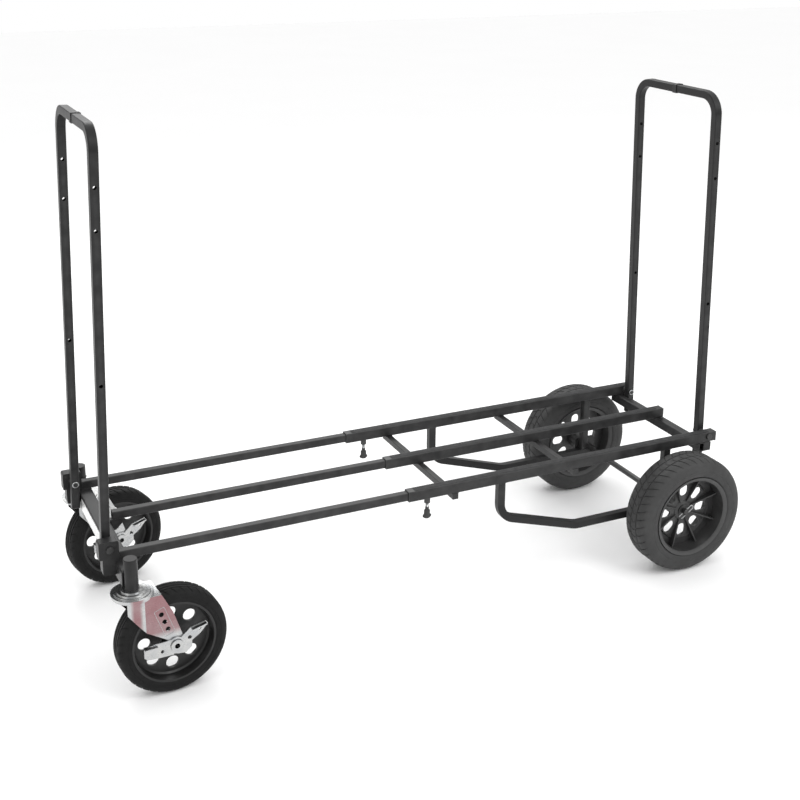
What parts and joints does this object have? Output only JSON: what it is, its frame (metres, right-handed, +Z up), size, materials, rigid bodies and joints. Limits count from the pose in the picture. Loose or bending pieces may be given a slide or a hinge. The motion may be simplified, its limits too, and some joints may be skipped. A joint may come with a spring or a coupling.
{
  "type": "convertible hand truck",
  "caption": "Flat cart of telescoping square rails with folding U handles, large rear wheels and braked swivel casters.",
  "frame": {"origin": "on the floor, midway between the two handle pivots, within 8 mm of the centre of the bounding box", "axes": "+X from the caster end to the big-wheel end, +Y to the right as seen from the rear handle, +Z up"},
  "size_m": [1.3455, 0.5192, 1.01],
  "materials": {
    "black_tube": "satin black powder coat",
    "plain_plate": "satin",
    "guide_plastic": "matt moulded",
    "knob_plastic": "matt moulded",
    "zinc_steel": "bright zinc plate",
    "black_bolt": "black oxide",
    "black_plastic": "satin moulded",
    "rim_plastic": "satin moulded",
    "tyre_rubber": "moulded rubber"
  },
  "bodies": {
    "rear_frame": {"left_outer_rail": "black_tube", "middle_outer_rail": "black_tube", "right_outer_rail": "black_tube", "rail_guides": "guide_plastic", "rail_end_caps": "guide_plastic", "rear_cross_channel": "black_tube", "rear_tabs": "black_tube", "front_cross_bar": "black_tube", "rear_cross_bar": "black_tube", "left_side_loop": "black_tube", "right_side_loop": "black_tube", "axle_posts": "black_tube", "axle_plates": "black_tube", "thumb_screw_nuts": "black_bolt", "rear_axle": "black_bolt", "axle_washers": "black_bolt", "axle_cotter_pins": "zinc_steel", "rear_pivot_bolts": "black_bolt", "rear_pivot_clips": "zinc_steel", "rear_pivot_spacers": "guide_plastic"},
    "front_frame": {"left_inner_rail": "black_tube", "middle_inner_rail": "black_tube", "right_inner_rail": "black_tube", "front_cross_channel": "black_tube", "front_face_plate": "plain_plate", "middle_rail_gusset": "black_tube", "left_corner_block": "black_tube", "right_corner_block": "black_tube", "left_caster_socket": "black_tube", "right_caster_socket": "black_tube", "swivel_upper_races": "zinc_steel", "front_pivot_bolts": "black_bolt", "front_pivot_clips": "zinc_steel", "front_pivot_spacers": "guide_plastic"},
    "front_handle": {"front_handle_tube": "black_tube", "front_handle_collar": "black_tube", "front_handle_feet": "guide_plastic"},
    "rear_handle": {"rear_handle_tube": "black_tube", "rear_handle_collar": "black_tube", "rear_handle_feet": "guide_plastic"},
    "left_caster_swivel": {"left_caster_fork": "zinc_steel", "left_caster_kingpin": "zinc_steel", "left_caster_axle": "zinc_steel"},
    "left_caster_wheel": {"left_caster_hub": "black_plastic", "left_caster_tyre": "tyre_rubber"},
    "left_brake": {"left_brake_lever": "zinc_steel"},
    "left_rear_wheel": {"left_rear_rim": "rim_plastic", "left_rear_tyre": "tyre_rubber", "left_wheel_bush": "guide_plastic"},
    "left_clamp": {"left_thumb_screw": "knob_plastic"},
    "right_caster_swivel": {"right_caster_fork": "zinc_steel", "right_caster_kingpin": "zinc_steel", "right_caster_axle": "zinc_steel"},
    "right_caster_wheel": {"right_caster_hub": "black_plastic", "right_caster_tyre": "tyre_rubber"},
    "right_brake": {"right_brake_lever": "zinc_steel"},
    "right_rear_wheel": {"right_rear_rim": "rim_plastic", "right_rear_tyre": "tyre_rubber", "right_wheel_bush": "guide_plastic"},
    "right_clamp": {"right_thumb_screw": "knob_plastic"}
  },
  "joints": [
    {"name": "frame_extend", "type": "slide", "parent": "rear_frame", "child": "front_frame", "axis": [1, 0, 0], "range_m": [0, 0.4]},
    {"name": "front_handle_fold", "type": "hinge", "parent": "front_frame", "child": "front_handle", "pos_m": [-0.64625, 0, 0.275], "axis": [0, 1, 0], "range_deg": [0, 80.7]},
    {"name": "rear_handle_fold", "type": "hinge", "parent": "rear_frame", "child": "rear_handle", "pos_m": [0.64625, 0, 0.26], "axis": [0, -1, 0], "range_deg": [0, 86.7]},
    {"name": "left_caster_swivel", "type": "hinge", "parent": "front_frame", "child": "left_caster_swivel", "pos_m": [-0.6215, -0.2077, 0.21], "axis": [0, 0, 1], "continuous": true},
    {"name": "left_caster_spin", "type": "hinge", "parent": "left_caster_swivel", "child": "left_caster_wheel", "pos_m": [-0.55669, -0.20271, 0.1015], "axis": [-0.0767, 0.9971, 0], "continuous": true},
    {"name": "left_brake_press", "type": "hinge", "parent": "left_caster_swivel", "child": "left_brake", "pos_m": [-0.55669, -0.20271, 0.1015], "axis": [-0.0767, 0.9971, 0], "range_deg": [0, 15]},
    {"name": "left_rear_wheel_spin", "type": "hinge", "parent": "rear_frame", "child": "left_rear_wheel", "pos_m": [0.553, -0.2142, 0.127], "axis": [0, 1, 0], "continuous": true},
    {"name": "left_thumb_screw_turn", "type": "hinge", "parent": "rear_frame", "child": "left_clamp", "pos_m": [-0.025, -0.1545, 0.23], "axis": [0, 0, -1], "range_deg": [0, 720]},
    {"name": "right_caster_swivel", "type": "hinge", "parent": "front_frame", "child": "right_caster_swivel", "pos_m": [-0.6215, 0.2077, 0.21], "axis": [0, 0, 1], "continuous": true},
    {"name": "right_caster_spin", "type": "hinge", "parent": "right_caster_swivel", "child": "right_caster_wheel", "pos_m": [-0.5583, 0.22287, 0.1015], "axis": [-0.2334, 0.9724, 0], "continuous": true},
    {"name": "right_brake_press", "type": "hinge", "parent": "right_caster_swivel", "child": "right_brake", "pos_m": [-0.5583, 0.22287, 0.1015], "axis": [-0.2334, 0.9724, 0], "range_deg": [0, 15]},
    {"name": "right_rear_wheel_spin", "type": "hinge", "parent": "rear_frame", "child": "right_rear_wheel", "pos_m": [0.553, 0.2142, 0.127], "axis": [0, 1, 0], "continuous": true},
    {"name": "right_thumb_screw_turn", "type": "hinge", "parent": "rear_frame", "child": "right_clamp", "pos_m": [-0.025, 0.1545, 0.23], "axis": [0, 0, -1], "range_deg": [0, 720]}
  ]
}
